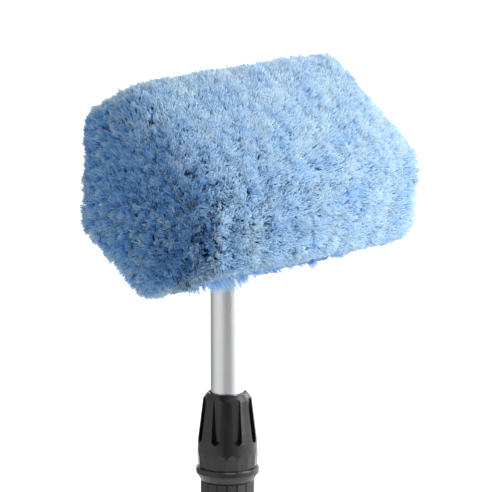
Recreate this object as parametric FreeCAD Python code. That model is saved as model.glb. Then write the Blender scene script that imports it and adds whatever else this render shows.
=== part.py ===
"""Telescopic wash brush: a five-sided tufted head screwed on a two-tube pole with a twist lock.

Row frame, millimetres: the pole's axis is the Z axis, +Z is up towards the head, X is along the
head's long side, and the head's main face looks forwards (-Y) and up. The origin is the centre of
the hanging hole in the end cap.
"""

import FreeCAD, Part
import math
import os
from FreeCAD import Placement, Rotation, Vector

# ---------------------------------------------------------------- driving dimensions
# tubes
INNER_TUBE_OD = 25.0
TUBE_WALL = 1.2
TUBE_GAP = 0.3  # radial, between the two tubes
OUTER_TUBE_LENGTH = 820.0
SHOWN_TUBE = 90.0  # inner tube above the lock nut with the pole pushed in

# end cap and hanging eye
HANG_HOLE_R = 4.0
EYE_R = 12.0
EYE_THICKNESS = 8.0
CAP_SEAT_Z = 18.0  # the outer tube's lower end
CAP_RIM_HEIGHT = 5.0
CAP_RIM_OVERHANG = 2.0
CAP_PLUG_DEPTH = 26.0
CAP_PIN_UP = 13.0  # above the seat

# grip sleeve
GRIP_UP = 26.0  # above the tube's lower end
GRIP_LENGTH = 150.0
GRIP_WALL = 2.6
GRIP_GROOVES = 11
GRIP_GROOVE_DEPTH = 0.9

# lock body
BODY_WALL = 5.75  # radial, outside the outer tube
BODY_SLEEVE = 50.0  # below the outer tube's top end
BODY_NECK = 6.0  # from the tube's top end to the thread's foot
BODY_THREAD_LENGTH = 19.0
BODY_FLUTES = 16
BODY_FLUTE_DEPTH = 0.8
BODY_FLUTE_WIDTH = 1.5
BODY_BAND = 7.0  # plain band at the sleeve's foot, where the pins are
STOP_LIP_GAP = 0.1  # radial, inner tube in the body's upper bore

# lock thread
LOCK_PITCH = 3.0
LOCK_THREAD_WALL = 4.0  # from the outer tube's face to the crest of the body's thread
LOCK_THREAD_DEPTH = 1.0
THREAD_GAP = 0.25
THREAD_ROOT_SHARE = 0.36  # half the ridge's width at its root, of the pitch
THREAD_CREST_SHARE = 0.16  # and at its crest

# lock nut
NUT_HEIGHT = 65.0
NUT_GAP = 0.5  # under the nut when it is tight
# the nut's walls are radial: its skirt's outside the thread's crest, its mouth's outside the inner tube
NUT_FOOT_WALL = 1.9
NUT_RING_WALL = 5.2
NUT_RING_LOW = 4.6
NUT_RING_HIGH = 9.4
NUT_FACET_WALL = 4.4
NUT_SHOULDER_WALL = 3.8
NUT_SHOULDER_UP = 29.5
NUT_TOP_WALL = 5.4
NUT_TOP_CHAMFER = 4.6
NUT_MOUTH_WALL = 2.4
NUT_SLOTS = 8
NUT_SLOT_WIDTH = 6.6
NUT_SLOT_FLOOR_WALL = 0.88  # from the collet's cone seat to the slots' floor
NUT_SLOT_UP = 32.0  # centre of the slot's round end
NUT_FACETS = 16
NUT_FACET_DEPTH = 1.3
NUT_FACET_TOP = 27.0
NUT_MOUTH_GAP = 0.9  # radial, round the inner tube

# collet
COLLET_BORE_GAP = 0.1
COLLET_CONE_GAP = 0.12
COLLET_BIG_WALL = 3.2  # outside the inner tube, with the bore gap
COLLET_SMALL_WALL = 1.4
COLLET_FLANGE = 2.2
COLLET_LENGTH = 25.0
COLLET_SLITS = 6
COLLET_SLIT_WIDTH = 1.4

# wiper ring in the nut's mouth
WIPER_DOWN = 8.0  # below the nut's top end
WIPER_HEIGHT = 3.0
WIPER_GROOVE_WALL = 2.2
WIPER_GAP = 0.06

# guide at the inner tube's foot
GUIDE_CLEAR_STOP = 2.0  # above the end cap's plug when the pole is pushed in
GUIDE_GAP = 0.08
GUIDE_FLANGE = 70.0
GUIDE_LAND = 18.0  # each end of it runs in the outer tube
GUIDE_WAIST_DEPTH = 2.22
GUIDE_PLUG = 30.0
GLIDE_RING_HEIGHT = 6.0
GLIDE_RING_UP = 6.0
GLIDE_GROOVE_DEPTH = 1.12
GLIDE_GAP = 0.04
GLIDE_SLIT = 1.2
AXIAL_GAP = 0.1

# plugs in the tubes, pins and rivets
PLUG_GAP = 0.05
PIN_R = 2.0
PIN_INTO_PLUG = 3.5
RIVET_HEAD_R = 3.6
RIVET_HEAD_HEIGHT = 1.3

# threaded tip and its washer
TIP_PITCH = 5.0
TIP_SHOULDER = 3.0  # radial, from the thread's crest out to the tube's face
TIP_THREAD_DEPTH = 1.3
TIP_FLANGE = 3.0
TIP_THREAD_LENGTH = 22.0
TIP_PLUG_DEPTH = 32.0
TIP_RIVET_DOWN = 15.0
WASHER_THICKNESS = 2.0
WASHER_EDGE = 0.3  # how far the washer's edge stands inside the tip's flange

# brush block, in the head's own frame: x along it, y towards its back edge, z towards the tufts
HEAD_TILT = 35.0  # degrees, pole axis to the block's normal
BLOCK_HALF_LENGTH = 76.0
BLOCK_HALF_WIDTH = 36.0
BLOCK_BAND = 8.0  # upright edge below the slopes
BLOCK_HEIGHT = 34.0
BLOCK_INSET = 16.0  # from the block's edge to its top face
SOCKET_OFFSET = 5.0  # from the block's middle towards the front, on its back plane
BOSS_WALL = 6.0  # outside the thread's crest
BOSS_LENGTH = 14.0  # outside the block, along the pole
BOSS_CHAMFER = 1.2
SOCKET_END_WALL = 2.0
COVER_THICKNESS = 4.0
COVER_END_MARGIN = 10.0  # from the block's ends
COVER_SIDE_MARGIN = 9.0  # from its sides
COVER_CORNER_R = 6.0
COVER_GAP = 0.2
POCKET_SIDE_WALL = 19.0  # from the pockets to the block's sides
POCKET_ROOF = 16.0  # from the pockets to the top face
POCKET_HALF_LENGTH = 20.0
POCKET_WALL = 5.0  # between two pockets
SCREW_LAND = 9.0  # from a side pocket to the screws' centres
SCREW_END_MARGIN = 13.0  # from the cover's ends
SCREW_SIDE_MARGIN = 6.5  # from its sides
SCREW_R = 1.6
SCREW_LENGTH = 13.0
SCREW_HEAD_R = 3.4
SCREW_HEAD_HEIGHT = 2.0

# tufts
HOLE_R = 2.1
HOLE_DEPTH = 8.0
TUFT_GAP = 0.08
MAIN_ROW_PITCH = 7.5  # least spacings of the holes
SLOPE_ROW_PITCH = 7.5
COLUMN_PITCH = 9.1
END_COLUMN_PITCH = 6.7
MAIN_EDGE = 5.0  # from the top face's edge to the outer holes
SLOPE_EDGE = 8.5  # from a slope's slanting edges to its outer holes
MAIN_FAN = 18.0  # degrees, lean of the outer main tufts across the head
LONG_FAN = 30.0  # degrees, lean of the last tufts along the head
END_FAN = 14.0  # degrees, lean across the head of an end row's outer tufts
SLOPE_FAN_TOP = 34.0  # degrees from the block's normal, top row
SLOPE_FAN_FOOT = 82.0  # and lowest row
ANCHOR_GAP = 0.15  # each side, in the hole
ANCHOR_HEIGHT = 1.8
ANCHOR_THICKNESS = 0.4

# trimmed shape of the bristles: a rounded fan, its corners before rounding
FAN_BACK = 8.0  # how far its middle lies behind the block's middle
FAN_ROUND = 16.0
FAN_FOOT_IN = 4.0  # its foot corners, inside the block's sides
FAN_WIDE_OUT = 31.0  # its widest corners, outside the block's sides
FAN_WIDE_RISE = 26.0  # and above the top face
FAN_FACE_OUT = 11.0  # the face's corners, outside the block's sides
FAN_FACE_RISE = 64.0  # and above the top face
FAN_END_OUT = 27.0  # outside the block's ends
FAN_SPLAY = 0.52  # how fast the main tufts spread, per millimetre of height
FAN_SKIRT = 0.6  # how fast the underside opens, per millimetre of depth

# ---------------------------------------------------------------- sizes that follow
inner_r = INNER_TUBE_OD / 2
inner_bore_r = inner_r - TUBE_WALL
outer_bore_r = inner_r + TUBE_GAP
outer_r = outer_bore_r + TUBE_WALL
outer_top = CAP_SEAT_Z + OUTER_TUBE_LENGTH
thread_foot = outer_top + BODY_NECK
nut_foot = thread_foot + NUT_GAP
nut_top = nut_foot + NUT_HEIGHT
body_top = thread_foot + BODY_THREAD_LENGTH
tube_top = nut_top + SHOWN_TUBE
guide_foot = CAP_SEAT_Z + CAP_PLUG_DEPTH + GUIDE_CLEAR_STOP
guide_top = guide_foot + GUIDE_FLANGE
washer_foot = tube_top + TIP_FLANGE
socket_mouth = washer_foot + WASHER_THICKNESS
back_plane_z = socket_mouth + BOSS_LENGTH
socket_depth = TIP_THREAD_LENGTH - WASHER_THICKNESS + SOCKET_END_WALL
body_bore_r = inner_r + STOP_LIP_GAP
body_r = outer_r + BODY_WALL
lock_thread_r = outer_r + LOCK_THREAD_WALL
collet_big_r = inner_r + COLLET_BIG_WALL
collet_small_r = inner_r + COLLET_SMALL_WALL
nut_foot_r = lock_thread_r + NUT_FOOT_WALL
nut_ring_r = lock_thread_r + NUT_RING_WALL
nut_facet_r = lock_thread_r + NUT_FACET_WALL
nut_shoulder_r = lock_thread_r + NUT_SHOULDER_WALL
nut_top_r = inner_r + NUT_TOP_WALL
nut_mouth_r = inner_r + NUT_MOUTH_WALL
nut_slot_floor_r = collet_big_r + COLLET_CONE_GAP + NUT_SLOT_FLOOR_WALL
wiper_groove_r = inner_r + WIPER_GROOVE_WALL
tip_thread_r = inner_r - TIP_SHOULDER
boss_r = tip_thread_r + BOSS_WALL
top_half_length = BLOCK_HALF_LENGTH - BLOCK_INSET
top_half_width = BLOCK_HALF_WIDTH - BLOCK_INSET
guide_waist_r = outer_bore_r - GUIDE_GAP - GUIDE_WAIST_DEPTH
wiper_up = NUT_HEIGHT - WIPER_DOWN - WIPER_HEIGHT
cover_half_length = BLOCK_HALF_LENGTH - COVER_END_MARGIN
cover_half_width = BLOCK_HALF_WIDTH - COVER_SIDE_MARGIN
screw_x = cover_half_length - SCREW_END_MARGIN
screw_y = cover_half_width - SCREW_SIDE_MARGIN
pocket_half_width = BLOCK_HALF_WIDTH - POCKET_SIDE_WALL
pocket_depth = BLOCK_HEIGHT - POCKET_ROOF
side_pocket_from = POCKET_HALF_LENGTH + POCKET_WALL
side_pocket_to = screw_x - SCREW_LAND
anchor_width = 2 * (HOLE_R - ANCHOR_GAP)
fan_foot_half = BLOCK_HALF_WIDTH - FAN_FOOT_IN
fan_wide_half = BLOCK_HALF_WIDTH + FAN_WIDE_OUT
fan_wide_up = BLOCK_HEIGHT + FAN_WIDE_RISE
fan_face_half = BLOCK_HALF_WIDTH + FAN_FACE_OUT
fan_face_up = BLOCK_HEIGHT + FAN_FACE_RISE
fan_half_length = BLOCK_HALF_LENGTH + FAN_END_OUT
UP = Vector(0, 0, 1)


# ---------------------------------------------------------------- helpers
def ring(r_out, r_in, foot, top):
    return Part.makeCylinder(r_out, top - foot, Vector(0, 0, foot)).cut(
        Part.makeCylinder(r_in, top - foot + 2, Vector(0, 0, foot - 1))
    )


def turned(profile):
    """A solid turned about the Z axis from (radius, height) points."""
    points = [Vector(r, 0, z) for r, z in profile]
    return Part.Face(Part.makePolygon(points + points[:1])).revolve(Vector(), UP, 360)


def round_z(shape, count, start=0.0):
    """Copies of a shape, spaced evenly round the Z axis."""
    copies = []
    for i in range(count):
        copy = shape.copy()
        copy.rotate(Vector(), UP, start + 360.0 * i / count)
        copies.append(copy)
    return copies


def ridge(r_root, r_crest, pitch, foot, length, sink):
    """A helical thread's ridge, its root sunk a little into the core."""
    half_root = THREAD_ROOT_SHARE * pitch
    half_crest = THREAD_CREST_SHARE * pitch
    helix = Part.makeHelix(pitch, length, r_root)
    corners = [
        Vector(r_root - sink, 0, -half_root),
        Vector(r_crest, 0, -half_crest),
        Vector(r_crest, 0, half_crest),
        Vector(r_root - sink, 0, half_root),
    ]
    sweep = Part.BRepOffsetAPI.MakePipeShell(Part.Wire(helix))
    sweep.setFrenetMode(True)
    sweep.add(Part.makePolygon(corners + corners[:1]))
    sweep.build()
    sweep.makeSolid()
    thread = sweep.shape()
    thread.translate(Vector(0, 0, foot))
    return thread


def radial_pin(radius, r_from, r_to, height, angle):
    """A pin that points at the Z axis, from r_from out to r_to."""
    pin = Part.makeCylinder(radius, r_to - r_from, Vector(r_from, 0, height), Vector(1, 0, 0))
    pin.rotate(Vector(), UP, angle)
    return pin


def box(half_x, half_y, low, high, mid_x=0.0, mid_y=0.0):
    corner = Vector(mid_x - half_x, mid_y - half_y, low)
    return Part.makeBox(2 * half_x, 2 * half_y, high - low, corner)


def in_row(shape):
    """From the head's own frame to the row frame."""
    placed = shape.copy()
    placed.translate(Vector(0, SOCKET_OFFSET, 0))
    placed.rotate(Vector(), Vector(1, 0, 0), HEAD_TILT)
    placed.translate(Vector(0, 0, back_plane_z))
    return placed


# ---------------------------------------------------------------- lower pole
def end_cap():
    eye = Part.makeCylinder(EYE_R, EYE_THICKNESS, Vector(0, EYE_THICKNESS / 2, 0), Vector(0, -1, 0))
    web = box(EYE_R, EYE_THICKNESS / 2, 0, CAP_SEAT_Z - CAP_RIM_HEIGHT + 1)
    rim_r = outer_r + CAP_RIM_OVERHANG
    rim = Part.makeCylinder(rim_r, CAP_RIM_HEIGHT, Vector(0, 0, CAP_SEAT_Z - CAP_RIM_HEIGHT))
    rim = rim.makeFillet(1.5, [rim.Edges[0], rim.Edges[2]])
    plug = Part.makeCylinder(outer_bore_r - PLUG_GAP, CAP_PLUG_DEPTH, Vector(0, 0, CAP_SEAT_Z))
    solid = eye.fuse([web, rim, plug])
    hole = Part.makeCylinder(HANG_HOLE_R, 60, Vector(0, 30, 0), Vector(0, -1, 0))
    return solid.cut([hole, *cap_pin_holes()])


def cap_pin_holes():
    reach = outer_bore_r - PIN_INTO_PLUG
    pin = radial_pin(PIN_R, reach, outer_r + 1, CAP_SEAT_Z + CAP_PIN_UP, 90)
    return round_z(pin, 2)


def cap_rivets():
    return round_z(rivet(outer_bore_r - PIN_INTO_PLUG, outer_r, CAP_SEAT_Z + CAP_PIN_UP, 90), 2)


def rivet(r_from, r_surface, height, angle):
    """A domed rivet through a tube's wall into a plug."""
    shank = radial_pin(PIN_R, r_from, r_surface, height, angle)
    ball_r = (RIVET_HEAD_R**2 + RIVET_HEAD_HEIGHT**2) / (2 * RIVET_HEAD_HEIGHT)
    centre = r_surface + RIVET_HEAD_HEIGHT - ball_r
    dome = Part.makeSphere(ball_r, Vector(centre, 0, height))
    root = Vector(r_surface - 0.4, 0, height)
    head = dome.common(Part.makeCylinder(RIVET_HEAD_R, RIVET_HEAD_HEIGHT + 1, root, Vector(1, 0, 0)))
    head = head.cut(Part.makeCylinder(r_surface, 20, Vector(0, 0, height - 10)))
    head.rotate(Vector(), UP, angle)
    return shank.fuse(head)


def outer_tube():
    tube = ring(outer_r, outer_bore_r, CAP_SEAT_Z, outer_top)
    return tube.cut(cap_pin_holes() + body_pins(-1.0))


def grip():
    foot = CAP_SEAT_Z + GRIP_UP
    face = outer_r + GRIP_WALL
    step = GRIP_LENGTH / (GRIP_GROOVES + 1)
    profile = [(outer_r, foot), (face - 0.8, foot), (face, foot + 1.2)]
    for i in range(1, GRIP_GROOVES + 1):
        middle = foot + i * step
        profile += [
            (face, middle - 2.2),
            (face - GRIP_GROOVE_DEPTH, middle - 1.2),
            (face - GRIP_GROOVE_DEPTH, middle + 1.2),
            (face, middle + 2.2),
        ]
    top = foot + GRIP_LENGTH
    profile += [(face, top - 1.2), (face - 0.8, top), (outer_r, top)]
    return turned(profile)


def body_pins(short=0.2):
    """Pins through the body's plain band and the outer tube's wall; a negative short gives their holes."""
    height = outer_top - BODY_SLEEVE + BODY_BAND / 2 + 1
    pin = radial_pin(PIN_R, outer_bore_r + short, body_r - short, height, 0)
    return round_z(pin, 2)


def lock_body():
    foot = outer_top - BODY_SLEEVE
    root_r = lock_thread_r - LOCK_THREAD_DEPTH
    profile = [
        (outer_r, foot),
        (body_r - 1.0, foot),
        (body_r, foot + 1.0),
        (body_r, thread_foot - 0.8),
        (body_r - 0.8, thread_foot),
        (root_r, thread_foot),
        (root_r, body_top - 0.8),
        (root_r - 0.8, body_top),
        (body_bore_r, body_top),
        (body_bore_r, outer_top),
        (outer_r, outer_top),
    ]
    solid = turned(profile)
    half = BODY_FLUTE_WIDTH / 2
    floor = body_r - BODY_FLUTE_DEPTH
    wide = half + 0.5
    section = [Vector(floor, 0, 0), Vector(body_r + 0.5, -wide, 0), Vector(body_r + 0.5, wide, 0)]
    groove_height = thread_foot - foot - BODY_BAND + 1
    groove = Part.Face(Part.makePolygon(section + section[:1])).extrude(Vector(0, 0, groove_height))
    groove.translate(Vector(0, 0, foot + BODY_BAND))
    solid = solid.cut(round_z(groove, BODY_FLUTES, 90.0))
    turn_length = BODY_THREAD_LENGTH - 2 * LOCK_PITCH
    thread = ridge(root_r, lock_thread_r, LOCK_PITCH, thread_foot + LOCK_PITCH, turn_length, 0.3)
    return solid.fuse(thread).cut(body_pins(-1.0))


# ---------------------------------------------------------------- lock
def lock_nut():
    z = nut_foot
    thread_root = lock_thread_r + THREAD_GAP
    thread_crest = lock_thread_r - LOCK_THREAD_DEPTH + THREAD_GAP
    cone_foot, cone_top = cone_heights()
    mouth = inner_r + NUT_MOUTH_GAP
    profile = [
        (thread_crest, z),
        (nut_foot_r, z),
        (nut_facet_r - 0.1, z + NUT_RING_LOW - 0.3),
        (nut_ring_r - 0.4, z + NUT_RING_LOW),
        (nut_ring_r, z + NUT_RING_LOW + 0.8),
        (nut_ring_r, z + NUT_RING_HIGH - 0.9),
        (nut_ring_r - 0.5, z + NUT_RING_HIGH),
        (nut_facet_r, z + NUT_RING_HIGH),
        (nut_shoulder_r, z + NUT_SHOULDER_UP),
        (nut_top_r, z + NUT_HEIGHT - NUT_TOP_CHAMFER),
        (nut_mouth_r, z + NUT_HEIGHT - 0.4),
        (nut_mouth_r - 0.6, z + NUT_HEIGHT),
        (mouth, z + NUT_HEIGHT),
        (mouth, z + wiper_up + WIPER_HEIGHT),
        (wiper_groove_r, z + wiper_up + WIPER_HEIGHT),
        (wiper_groove_r, z + wiper_up),
        (mouth, z + wiper_up),
        (mouth, cone_top + 1.0),
        (collet_small_r + COLLET_CONE_GAP, cone_top + 1.0),
        (collet_small_r + COLLET_CONE_GAP, cone_top),
        (collet_big_r + COLLET_CONE_GAP, cone_foot),
        (collet_big_r + COLLET_CONE_GAP, body_top + AXIAL_GAP),
        (thread_crest, body_top + AXIAL_GAP),
    ]
    solid = turned(profile)
    groove_length = BODY_THREAD_LENGTH - THREAD_ROOT_SHARE * LOCK_PITCH
    groove = ridge(thread_crest, thread_root, LOCK_PITCH, thread_foot, groove_length, 0.3)
    return solid.cut([*nut_slots(), *nut_facets()]).cut(groove)


def cone_heights():
    foot = body_top + 2 * AXIAL_GAP + COLLET_FLANGE
    return foot, body_top + 2 * AXIAL_GAP + COLLET_LENGTH


def nut_slots():
    """Finger slots, open at the top, with a round lower end and an upright floor."""
    foot = nut_foot + NUT_SLOT_UP
    reach = nut_ring_r - nut_slot_floor_r + 1
    half = NUT_SLOT_WIDTH / 2
    end = Part.makeCylinder(half, reach, Vector(nut_slot_floor_r, 0, foot), Vector(1, 0, 0))
    run = Part.makeBox(reach, NUT_SLOT_WIDTH, NUT_HEIGHT, Vector(nut_slot_floor_r, -half, foot))
    return round_z(end.fuse(run), NUT_SLOTS, 90.0 + 180.0 / NUT_SLOTS)


def nut_facets():
    """Flat facets above the ring, each deepest at its foot."""
    foot = nut_foot + NUT_RING_HIGH
    top = nut_foot + NUT_FACET_TOP
    lean = math.degrees(math.atan2(NUT_FACET_DEPTH, top - foot))
    facet = Part.makeBox(10, 2 * nut_ring_r, top - foot + 6, Vector(0, -nut_ring_r, 0))
    facet.rotate(Vector(), Vector(0, 1, 0), lean)
    facet.translate(Vector(nut_facet_r - NUT_FACET_DEPTH, 0, foot))
    above_ring = box(60, 60, foot, top + 20)
    return [f.common(above_ring) for f in round_z(facet, NUT_FACETS, 90.0 + 180.0 / NUT_FACETS)]


def collet():
    foot = body_top + 2 * AXIAL_GAP
    cone_foot, cone_top = cone_heights()
    profile = [
        (inner_r + COLLET_BORE_GAP, foot),
        (collet_big_r, foot),
        (collet_big_r, cone_foot),
        (collet_small_r, cone_top),
        (inner_r + COLLET_BORE_GAP, cone_top),
    ]
    corner = Vector(inner_r - 2, -COLLET_SLIT_WIDTH / 2, cone_foot + 2)
    slit = Part.makeBox(8, COLLET_SLIT_WIDTH, COLLET_LENGTH, corner)
    return turned(profile).cut(round_z(slit, COLLET_SLITS, 15.0))


def wiper_ring():
    foot = nut_foot + wiper_up + WIPER_GAP
    top = foot + WIPER_HEIGHT - 2 * WIPER_GAP
    lip = inner_r + COLLET_BORE_GAP
    profile = [
        (lip, foot + 1),
        (lip + 0.7, foot),
        (wiper_groove_r - WIPER_GAP, foot),
        (wiper_groove_r - WIPER_GAP, top),
        (lip + 0.7, top),
        (lip, top - 1),
    ]
    return turned(profile)


# ---------------------------------------------------------------- upper pole
def guide_pins():
    height = guide_top + GUIDE_PLUG / 2
    return round_z(radial_pin(PIN_R, inner_bore_r - PIN_INTO_PLUG, inner_r - 0.2, height, 0), 2)


def inner_tube():
    tube = ring(inner_r, inner_bore_r, guide_top, tube_top)
    tip_hole = radial_pin(PIN_R, inner_bore_r - 1, inner_r + 1, tube_top - TIP_RIVET_DOWN, 90)
    pin_hole = radial_pin(PIN_R, inner_bore_r - 1, inner_r + 1, guide_top + GUIDE_PLUG / 2, 0)
    return tube.cut([tip_hole, *round_z(pin_hole, 2)])


def inner_guide():
    r = outer_bore_r - GUIDE_GAP
    groove_foot = guide_foot + GLIDE_RING_UP
    groove_top = groove_foot + GLIDE_RING_HEIGHT + 2 * AXIAL_GAP
    plug_r = inner_bore_r - PLUG_GAP
    profile = [
        (0, guide_foot),
        (r - 1, guide_foot),
        (r, guide_foot + 1),
        (r, groove_foot),
        (r - GLIDE_GROOVE_DEPTH, groove_foot),
        (r - GLIDE_GROOVE_DEPTH, groove_top),
        (r, groove_top),
        (r, guide_foot + GUIDE_LAND),
        (guide_waist_r, guide_foot + GUIDE_LAND + 2),
        (guide_waist_r, guide_top - GUIDE_LAND - 2),
        (r, guide_top - GUIDE_LAND),
        (r, guide_top),
        (plug_r, guide_top),
        (plug_r, guide_top + GUIDE_PLUG - 1),
        (plug_r - 1, guide_top + GUIDE_PLUG),
        (0, guide_top + GUIDE_PLUG),
    ]
    return turned(profile).cut(guide_pins())


def glide_ring():
    r_out = outer_bore_r - GLIDE_GAP
    r_in = outer_bore_r - GUIDE_GAP - GLIDE_GROOVE_DEPTH + 2 * GLIDE_GAP
    foot = guide_foot + GLIDE_RING_UP + AXIAL_GAP
    slit = Part.makeBox(20, GLIDE_SLIT, 20, Vector(0, -GLIDE_SLIT / 2, foot - 5))
    return ring(r_out, r_in, foot, foot + GLIDE_RING_HEIGHT).cut(slit)


def pole_tip():
    plug_r = inner_bore_r - PLUG_GAP
    root_r = tip_thread_r - TIP_THREAD_DEPTH
    top = washer_foot + TIP_THREAD_LENGTH
    profile = [
        (0, tube_top - TIP_PLUG_DEPTH),
        (plug_r - 1, tube_top - TIP_PLUG_DEPTH),
        (plug_r, tube_top - TIP_PLUG_DEPTH + 1),
        (plug_r, tube_top),
        (inner_r, tube_top),
        (inner_r, washer_foot - 0.6),
        (inner_r - 0.6, washer_foot),
        (root_r, washer_foot),
        (root_r, top - 1.5),
        (root_r - 1.5, top),
        (0, top),
    ]
    foot = washer_foot + WASHER_THICKNESS + TIP_PITCH / 2
    thread = ridge(root_r, tip_thread_r, TIP_PITCH, foot, top - 1.5 - foot - TIP_PITCH / 2, 0.3)
    return turned(profile).fuse(thread).cut(tip_rivet())


def tip_rivet():
    """One rivet at the back holds the tip in the tube."""
    return rivet(inner_bore_r - PIN_INTO_PLUG, inner_r, tube_top - TIP_RIVET_DOWN, 90)


def socket_washer():
    bore = tip_thread_r + WASHER_EDGE
    return ring(inner_r - WASHER_EDGE - 0.6, bore, washer_foot, socket_mouth)


# ---------------------------------------------------------------- head
def block_outer():
    """The block's outside: an upright band with four slopes above it."""
    band = box(BLOCK_HALF_LENGTH, BLOCK_HALF_WIDTH, 0, BLOCK_BAND)
    slopes = frustum(BLOCK_HALF_LENGTH, BLOCK_HALF_WIDTH, BLOCK_BAND, -BLOCK_INSET, BLOCK_HEIGHT)
    return band.fuse(slopes).removeSplitter()


def frustum(half_x, half_y, low, spread, high):
    """Between a rectangle at low and one at high that is wider by spread on every side."""
    wires = []
    for grow, z in ((0, low), (spread, high)):
        x, y = half_x + grow, half_y + grow
        corners = [Vector(x, y, z), Vector(-x, y, z), Vector(-x, -y, z), Vector(x, -y, z)]
        wires.append(Part.makePolygon(corners + corners[:1]))
    return Part.makeLoft(wires, True, True)


def tuft(x, y, z, lean_x, lean_y):
    """A tuft's root and direction: the leans are degrees from the block's normal, along x and y."""
    direction = Vector(math.tan(math.radians(lean_x)), math.tan(math.radians(lean_y)), 1)
    return Vector(x, y, z), direction.normalize()


def holes_in(span, pitch):
    """How many holes fit in a span, first and last on its ends."""
    return 1 + int(span / pitch + 0.001)


def spread_evenly(count, half):
    return [half * (2.0 * i / (count - 1) - 1) for i in range(count)]


def main_tufts():
    reach_x = top_half_length - MAIN_EDGE
    reach_y = top_half_width - MAIN_EDGE
    return [
        tuft(x, y, BLOCK_HEIGHT, LONG_FAN * x / reach_x, MAIN_FAN * y / reach_y)
        for x in spread_evenly(columns(), reach_x)
        for y in spread_evenly(holes_in(2 * reach_y, MAIN_ROW_PITCH), reach_y)
    ]


def columns():
    """Columns of tufts along the head, the same on the top face and on both long slopes."""
    return holes_in(2 * (top_half_length - MAIN_EDGE), COLUMN_PITCH)


def slope_rows():
    """Each slope row's distance in from the block's edge, its height and its lean, top row first."""
    drop = BLOCK_HEIGHT - BLOCK_BAND
    rows = int(math.hypot(drop, BLOCK_INSET) / SLOPE_ROW_PITCH)
    leans = [SLOPE_FAN_TOP + (SLOPE_FAN_FOOT - SLOPE_FAN_TOP) * i / (rows - 1) for i in range(rows)]
    shares = [(i + 0.5) / rows for i in range(rows)]
    return [(BLOCK_INSET * (1 - s), BLOCK_HEIGHT - drop * s, lean) for s, lean in zip(shares, leans)]


def side_tufts(side):
    """Rows on one long slope: side is -1 at the front and 1 at the back."""
    found = []
    for inset, z, row_lean in slope_rows():
        reach_x = BLOCK_HALF_LENGTH - inset - SLOPE_EDGE
        for x in spread_evenly(columns(), reach_x):
            lean = math.radians(row_lean)
            along = math.radians(LONG_FAN * x / reach_x)
            level = math.cos(along)
            direction = Vector(math.sin(along), side * math.sin(lean) * level, math.cos(lean) * level)
            found.append((Vector(x, side * (BLOCK_HALF_WIDTH - inset), z), direction))
    return found


def end_tufts(side):
    """Rows on one end slope: side is -1 at the left and 1 at the right."""
    found = []
    rows = slope_rows()
    count = holes_in(2 * (BLOCK_HALF_WIDTH - rows[0][0] - SLOPE_EDGE), END_COLUMN_PITCH)
    for inset, z, row_lean in rows:
        reach_y = BLOCK_HALF_WIDTH - inset - SLOPE_EDGE
        for y in spread_evenly(count, reach_y):
            lean = math.radians(row_lean)
            across = math.radians(END_FAN * y / reach_y)
            level = math.cos(across)
            direction = Vector(side * math.sin(lean) * level, math.sin(across), math.cos(lean) * level)
            found.append((Vector(side * (BLOCK_HALF_LENGTH - inset), y, z), direction))
    return found


def tuft_groups():
    return {
        "bristles_main": main_tufts(),
        "bristles_front": side_tufts(-1),
        "bristles_back": side_tufts(1),
        "bristles_left_end": end_tufts(-1),
        "bristles_right_end": end_tufts(1),
    }


def holes():
    """Blind holes for every tuft, running a little out of the surface so that they cut clean."""
    cuts = []
    for group in tuft_groups().values():
        for root, direction in group:
            foot = root - direction * HOLE_DEPTH
            cuts.append(Part.makeCylinder(HOLE_R, HOLE_DEPTH + 4, foot, direction))
    return cuts


def tuft_block():
    block = block_outer()
    recess = cover_outline(COVER_GAP, -1)
    middle = box(POCKET_HALF_LENGTH, pocket_half_width, 0, pocket_depth)
    side_half = (side_pocket_to - side_pocket_from) / 2
    side_mid = (side_pocket_to + side_pocket_from) / 2
    pockets = [box(side_half, pocket_half_width, 0, pocket_depth, s * side_mid) for s in (-1, 1)]
    return block.cut([recess, middle, *pockets, *screw_shanks()]).cut(holes())


def cover_outline(grow, low):
    """The cover plate's outline with rounded corners, from low up to its inner face."""
    plate = box(cover_half_length + grow, cover_half_width + grow, low, COVER_THICKNESS)
    upright = [e for e in plate.Edges if abs(e.tangentAt(e.FirstParameter).z) > 0.99]
    return plate.makeFillet(COVER_CORNER_R + grow, upright)


def screw_places():
    return [(sx * screw_x, sy * screw_y) for sx in (-1, 1) for sy in (-1, 1)]


def screw_shanks():
    return [Part.makeCylinder(SCREW_R, SCREW_LENGTH + 2, Vector(x, y, -2)) for x, y in screw_places()]


def cover_screws():
    screws = []
    for x, y in screw_places():
        head = Part.makeCylinder(SCREW_HEAD_R, SCREW_HEAD_HEIGHT, Vector(x, y, 0))
        shank = Part.makeCylinder(SCREW_R, SCREW_LENGTH, Vector(x, y, 0))
        drive = box(1.9, 0.4, -1, 1.1, x, y).fuse(box(0.4, 1.9, -1, 1.1, x, y))
        screws.append(in_row(head.fuse(shank).cut(drive)))
    return screws


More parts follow.
